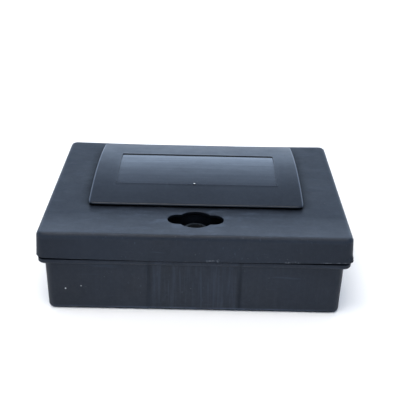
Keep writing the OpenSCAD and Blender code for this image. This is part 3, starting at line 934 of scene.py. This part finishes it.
def shaded_key_wall(look):
    """1 on the keyhole's cut edge, which gets painted shade, and 0 elsewhere."""
    away = look.away((0, KEY_Y, 0), look.stretched((1, 1, 0)))
    near = look.fall(away, KEY_HALF_W + 2.3, KEY_HALF_W + 3)
    low = look.fall(look.z, LID_TOP - 0.45, LID_TOP - 0.25)
    high = look.rise(look.z, LID_UNDER + 0.1, LID_UNDER + 0.4)
    return look.times(near, low, high)


def lid_marks(look):
    """Flecks, rubs and painted shade on the keyhole's cut edge, with the top shinier in front, where it
    is handled.
    """
    flecked_rim(look)
    rubbed_top(look)
    wall = shaded_key_wall(look)
    # painted shade: the keyhole's cut edge is darkened and its shine cut
    look.tint(wall, 0.25)
    look.gain(wall, 0.1)
    front = look.span(look.y, HANDLED_Y[0] * MM, HANDLED_Y[1] * MM, HANDLED_GAIN, 1.0)
    rear = look.span(look.y, REAR_Y[0] * MM, REAR_Y[1] * MM, 1.0, REAR_GAIN)
    look.gain(look.rise(look.z, LID_TOP - 0.55, LID_TOP - 0.2), look.times(front, rear))
    fillet = look.times(look.fall(look.y, 3.0 - LID_HALF_D, 5.0 - LID_HALF_D),
                        look.rise(look.z, LID_TOP - 4.6, LID_TOP - 3.0))
    look.gloss = look.times(look.gloss, look.span(fillet, 0, 1, 1.0, 1.05))
    look.gain(fillet, 0.85)
    # painted shade on the walls' left and right ends
    painted_shade_ends(look)


def base_marks(look):
    """Drag marks up the walls, duller sink marks with painted shade, a painted highlight on the bottom
    edge, a painted contact shadow at the foot, and pale spots in front.
    """
    middle = look.span(look.side, (SIDE_WALL_X - 1) * MM, (SIDE_WALL_X + 5) * MM, 1.0, 0.25)
    coarse = look.span(look.cloud(1, 3, 0.6, look.stretched((330, 330, 16))), 0.50, 0.72)
    fine = look.span(look.cloud(1, 2, 0.5, look.stretched((800, 800, 24))), 0.52, 0.70)
    drag = look.times(look.maths("MAXIMUM", coarse, fine), middle)
    look.gloss = look.maths("ADD", look.gloss, look.times(drag, 0.08))
    look.relief = look.maths("ADD", look.relief, look.times(drag, 0.4))
    look.tint(look.times(drag, 0.45), 2.3)
    from_rib = look.size(look.maths("SUBTRACT", look.side, SIDE_WALL_X * MM))
    uneven = look.span(look.cloud(30, 2, 0.5), 0.35, 0.6, 0.4, 1.0)
    sunk = look.times(look.fall(from_rib, 0.5, 3.0), uneven)
    # painted shade: the colour darkens over the sink marks; the lower shine makes them duller
    look.tint(look.times(sunk, 0.45), 0.3)
    look.gain(sunk, 0.65)
    # painted highlight: a lighter band on the bottom edge stands in for the light off the floor
    foot_highlight = look.times(look.rise(look.z, 1.4, 1.9), look.fall(look.z, 2.4, 3.6))
    look.tint(look.times(foot_highlight, look.span(look.cloud(60, 3, 0.6), 0.35, 0.6, 0.35, 0.9)), 4.0)
    # painted shadow: the foot's lowest millimetres are nearly black where the base meets the floor
    foot = look.fall(look.z, 1.2, 1.6)
    look.tint(foot, 0.05)
    look.gain(foot, 0.1)
    look.spots(FRONT_SPOTS)
    # painted shade on the walls' left and right ends
    painted_shade_ends(look)


def plate_marks(look):
    """Painted highlights on the side edges and the nub, a front slope that shines more, and a polished
    recess with slow waves.
    """
    # painted highlight on the nub
    look.spots(NUB_HIGHLIGHT_SPOTS)
    # painted highlight: the plate's curved side edges are lightened and shine more
    edge = look.rise(look.side, PLATE_HIGH.x - 1.6, PLATE_HIGH.x - 0.8)
    look.tint(look.times(edge, 0.7), 4.0)
    look.gain(edge, 1.8)
    look.gain(look.fall(look.y, *SLOPE_Y), 1.35)
    window = look.times(look.fall(look.side, WINDOW_HALF_W - 0.2, WINDOW_HALF_W + 0.2),
                        look.rise(look.y, WINDOW_Y[0] - 0.2, WINDOW_Y[0] + 0.2),
                        look.fall(look.y, WINDOW_Y[1] - 0.2, WINDOW_Y[1] + 0.2))
    look.waves = look.times(look.cloud(1, 2, 0.5, look.stretched((4, 90, 90))), window)
    look.gloss = look.times(look.gloss, look.span(window, 0, 1, 1.0, WINDOW_POLISH))
    look.gain(window, WINDOW_LEVEL / PLATE_LEVEL)


def painted_corner_shade(look, reach, inner):
    """Painted shade in the corners, over a reach in millimetres, and deeper painted shade on a shut
    shell's inner side.
    """
    distance = look.span(inner, 0, 1, reach * MM, HOLLOW_REACH * MM)
    open_share = look.add("AmbientOcclusion", {"Distance": distance}, samples=6).outputs["AO"]
    darkest, least_shaded = look.span(inner, 0, 1, 0.50, 0.0), look.span(inner, 0, 1, 0.96, 0.45)
    clear = look.span(open_share, darkest, least_shaded)
    # painted shade: the colour falls towards a dark copy of itself where ambient occlusion finds the
    # surface shut in
    look.base = look.mix(clear, shade(look.colour, 0.12), look.base)
    return clear


def moulded(name, colour, rough, grain=1.0, scuffs=1.0, level=0.5, reach=0.0, marks=None, hollow=None):
    """Satin moulded plastic: grain, cloudy gloss, scuffs, dust, worn edges, and painted shade in its
    corners.

    Level is the specular level, which varies over a part that has marks of its own, and stays
    plain otherwise; reach is for the painted corner shade, and hollow gives the inner side of a shell."""
    look = Moulding(name, colour)
    clouds = look.cloud(16, 4, 0.6)
    blotches = look.cloud(70, 3, 0.55)
    mottle = look.cloud(330, 4, 0.65)
    look.base = look.mix(look.span(clouds, 0.3, 0.7), shade(colour, 0.82), shade(colour, 1.2))
    look.tint(look.span(mottle, 0.42, 0.66, 0, 0.12), 1.9)
    across = look.cloud(1, 2, 0.5, look.stretched((22, 620, 300)))
    along = look.cloud(1, 2, 0.5, look.stretched((540, 30, 260)))
    scratches = look.maths("MAXIMUM", look.span(across, 0.68, 0.74), look.span(along, 0.69, 0.75))
    scratches = look.times(scratches, 0.35 * scuffs)
    look.tint(scratches, 2.6)
    look.paint(look.span(look.cloud(900, 2, 0.6), 0.73, 0.79, 0, 0.45 * scuffs), DUST)
    edge = look.span(look.add("NewGeometry").outputs["Pointiness"], 0.52, 0.60, 0, 0.5)
    look.tint(look.times(edge, look.span(blotches, 0.35, 0.6, 0.3, 1.0)), 2.4)
    cloudy = look.maths("ADD", look.times(clouds, 0.6), look.times(blotches, 0.4))
    look.gloss = look.span(cloudy, 0.3, 0.7, rough - 0.05, rough + 0.07)
    look.gloss = look.maths("ADD", look.gloss, look.times(scratches, 0.3))
    look.shine = level
    look.relief = scratches
    if marks:
        look.shine = look.times(look.span(cloudy, 0.3, 0.7, 1.15 * level, 0.85 * level),
                                look.span(mottle, 0.32, 0.68, 0.93, 1.07))
        marks(look)
    normal = look.bump(look.cloud(26, 2, 0.5), SWELL_DEPTH)
    normal = look.bump(look.cloud(2300, 3, 0.6), GRAIN_DEPTH * grain, 1.0, normal)
    normal = look.bump(look.relief, SCRATCH_DEPTH, 0.6, normal)
    if look.waves:
        normal = look.bump(look.waves, WAVE_DEPTH, 1.0, normal)
    if reach:
        # painted shade in corners and on a shell's inner side; parts with marks also lose shine there
        clear = painted_corner_shade(look, reach, hollow(look) if hollow else 0.0)
        if marks:
            look.shine = look.times(look.shine, look.span(clear, 0, 1, 0.15, 1.0))
    return look.done(look.base, look.gloss, normal, Specular_IOR_Level=look.shine)


def metal(name, colour, rough, along):
    """Drawn or plated steel, brushed along one axis, with a few dull spots."""
    look = Look(name)
    brush = look.cloud(1, 3, 0.6, look.stretched(along))
    spots = look.cloud(240, 3, 0.6)
    base = look.mix(look.span(brush, 0.3, 0.7), shade(colour, 0.8), shade(colour, 1.1))
    base = look.mix(look.span(spots, 0.60, 0.72, 0, 0.5), base, TARNISH + (1,))
    gloss = look.span(look.maths("ADD", brush, spots), 0.7, 1.3, rough - 0.06, rough + 0.14)
    return look.done(base, gloss, look.bump(brush, 0.00003, 0.5), Metallic=1.0)


def wax(name, colour):
    """Pressed bait: waxy, with pale and dark grain flecks and small pits."""
    look = Look(name)
    flecks = look.add("TexVoronoi", {"Vector": look.place, "Scale": 520.0}).outputs["Distance"]
    grains = look.cloud(700, 2, 0.5)
    clouds = look.cloud(60, 4, 0.6)
    base = look.mix(look.span(clouds, 0.3, 0.7), shade(colour, 0.75), shade(colour, 1.25))
    base = look.mix(look.span(flecks, 0.18, 0.32, 0.75, 0), base, GRAIN_FLECK + (1,))
    base = look.mix(look.span(grains, 0.62, 0.68, 0, 0.7), base, shade(colour, 0.35))
    gloss = look.span(grains, 0.3, 0.7, 0.38, 0.62)
    normal = look.bump(flecks, 0.0002, 0.6)
    normal = look.bump(grains, 0.00025, 0.7, normal)
    return look.done(base, gloss, normal, Subsurface_Weight=0.05)


lid_look = moulded("lid_plastic", BLACK, 0.43, scuffs=1.5, level=0.15, reach=10.0,
                   marks=lid_marks, hollow=lid_hollow)
base_look = moulded("base_plastic", BLACK, 0.45, level=0.19, reach=2.8,
                    marks=base_marks, hollow=base_hollow)
plate_look = moulded("plate_plastic", BLACK, 0.33, grain=0.4, scuffs=0.8, level=PLATE_LEVEL, reach=4.0,
                     marks=plate_marks)
tray_look = moulded("tray_plastic", TRAY_GREY, 0.45, scuffs=0.6)
cam_look = moulded("cam_plastic", CAM_GREY, 0.38, scuffs=0.8, level=0.3, reach=8.0)
zinc_look = metal("zinc_steel", (0.62, 0.62, 0.60), 0.34, (300, 300, 300))
rod_look = metal("rod_steel", (0.60, 0.60, 0.60), 0.26, (1500, 25, 1500))
bait_look = wax("bait_wax", (0.060, 0.28, 0.33))


# ---- Pieces on their bodies ----

def finish_piece(obj, body, slot_name, look, *nodes):
    obj.data.materials.clear()
    obj.data.materials.append(look)
    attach(obj, body)
    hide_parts(*nodes)


def soften(node, width, look):
    """Rounds a CAD node's edges with modifiers and gives it its material."""
    obj = frame["nodes"][node]
    clean = obj.modifiers.new("flat_faces", "DECIMATE")
    clean.decimate_type = "DISSOLVE"
    clean.angle_limit = math.radians(0.5)
    rounding = obj.modifiers.new("soft_edges", "BEVEL")
    rounding.width = width * MM
    rounding.segments = 2
    rounding.limit_method = "ANGLE"
    rounding.angle_limit = math.radians(40)
    rounding.harden_normals = True
    smooth(obj)
    for slot in obj.material_slots:
        slot.material = look
    if not obj.material_slots:
        obj.data.materials.append(look)


finish_piece(mesh_object("lid_shell", *lid_shell()), "lid", "lid_plastic", lid_look, "lid")
finish_piece(mesh_object("lid_fittings", *lid_fittings()), "lid", "lid_plastic", lid_look, "lid")
sheet = mesh_object("label_plate_sheet", *plate_mesh(), 32)
for piece in (sheet, mesh_object("label_plate_pegs", *plate_pegs())):
    finish_piece(piece, "lid", "plate_plastic", plate_look, "label_plate")
for piece in make_base():
    finish_piece(piece, "base", "base_plastic", base_look, "base_tray")

for side in ("left", "right"):
    soften("hinge_pin_" + side, 0.25, zinc_look)
    soften("bait_tray_" + side, 0.3, tray_look)
    soften("bait_rod_" + side, 0.3, rod_look)
    for end in ("front", "rear"):
        soften("bait_block_" + side + "_" + end, 0.4, bait_look)
soften("lock_cam", 0.3, cam_look)
soften("lock_washer", 0.15, zinc_look)
soften("lock_keeper", 0.25, zinc_look)
soften("lock_spring_washer", 0.1, zinc_look)
soften("lock_screw", 0.15, zinc_look)


# ---- Floor, light and camera, in metres ----

FLOOR_HALF = 12.0
CAMERA_AT = Vector((4.2, -642.9, 359.8)) * MM
CAMERA_AIM = Vector((0.00807, 0.89921, -0.43745))
CAMERA_ROLL_DEG = 1.446
SENSOR_MM = 36.0
LENS_MM = 71.61
SKY = [(0.0, (0.95, 1.20, 1.55)), (0.22, (1.36, 1.72, 2.28)), (0.42, (0.77, 0.98, 1.32)),
       (0.60, (0.42, 0.53, 0.73)), (0.76, (0.30, 0.38, 0.52)), (1.0, (0.40, 0.48, 0.60))]
SKY_DEPTH = (("From Min", -0.6), ("From Max", 0.5), ("To Min", 0.55), ("To Max", 1.0))


def pale_floor():
    look = Look("pale_floor")
    tone = look.span(look.cloud(3, 3, 0.5), 0.3, 0.7)
    base = look.mix(tone, (0.96, 0.96, 0.96, 1), (0.98, 0.98, 0.98, 1))
    material = look.done(base, 0.7, look.bump(look.cloud(400, 2, 0.5), 0.00002), Specular_IOR_Level=0.2)
    corners = [(x * FLOOR_HALF, y * FLOOR_HALF, 0) for x, y in ((-1, -1), (1, -1), (1, 1), (-1, 1))]
    mesh = bpy.data.meshes.new("floor")
    mesh.from_pydata(corners, [], [(0, 1, 2, 3)])
    obj = bpy.data.objects.new("floor", mesh)
    bpy.context.scene.collection.objects.link(obj)
    mesh.materials.append(material)


def studio_world():
    """Soft studio surround: brightest low behind the object, dimmer above and on the camera's side."""
    world = bpy.data.worlds.new("studio")
    bpy.context.scene.world = world
    world.use_nodes = True
    tree = world.node_tree
    tree.nodes.clear()
    place, split, ramp, depth, background, output = (tree.nodes.new("ShaderNode" + kind) for kind in (
        "TexCoord", "SeparateXYZ", "ValToRGB", "MapRange", "Background", "OutputWorld"))
    tree.links.new(place.outputs["Generated"], split.inputs[0])
    while len(ramp.color_ramp.elements) < len(SKY):
        ramp.color_ramp.elements.new(0.5)
    for element, (position, colour) in zip(ramp.color_ramp.elements, SKY):
        element.position = position
        element.color = colour + (1,)
    tree.links.new(split.outputs["Z"], ramp.inputs[0])
    for key, value in SKY_DEPTH:
        depth.inputs[key].default_value = value
    tree.links.new(split.outputs["Y"], depth.inputs["Value"])
    tree.links.new(ramp.outputs["Color"], background.inputs["Color"])
    tree.links.new(depth.outputs["Result"], background.inputs["Strength"])
    tree.links.new(background.outputs[0], output.inputs[0])


def softbox(name, place, target, size, watts, colour, mirrored=True):
    light = bpy.data.lights.new(name, "AREA")
    light.shape = "RECTANGLE"
    light.size, light.size_y = size
    light.energy = watts
    light.color = colour
    obj = bpy.data.objects.new(name, light)
    obj.location = place
    obj.rotation_euler = (Vector(target) - Vector(place)).to_track_quat("-Z", "Y").to_euler()
    obj.visible_glossy = mirrored
    bpy.context.scene.collection.objects.link(obj)


def camera():
    """The camera, at the angle that shows the lid, the plate and the front."""
    data = bpy.data.cameras.new("camera")
    data.sensor_width = SENSOR_MM
    data.lens = LENS_MM
    data.clip_start = 0.01
    obj = bpy.data.objects.new("camera", data)
    roll = Matrix.Rotation(math.radians(CAMERA_ROLL_DEG), 4, "Z")
    turn = CAMERA_AIM.to_track_quat("-Z", "Y").to_matrix().to_4x4()
    obj.matrix_world = Matrix.Translation(CAMERA_AT) @ turn @ roll
    bpy.context.scene.collection.objects.link(obj)
    bpy.context.scene.camera = obj


pale_floor()
studio_world()
softbox("overhead", (-0.2, -0.5, 1.6), (0, 0, 0), (1.3, 1.0), 24, (1.0, 0.95, 0.88))
softbox("front_fill", (0.0, -1.7, 1.1), (0, -0.25, 0), (1.6, 1.0), 6, (1.0, 0.97, 0.94), mirrored=False)
softbox("rear_fill", (0.0, 2.3, 1.8), (0, 1.6, 0), (2.4, 1.4), 40, (1.0, 0.92, 0.80), mirrored=False)
camera()
bpy.context.scene.view_settings.view_transform = "Standard"
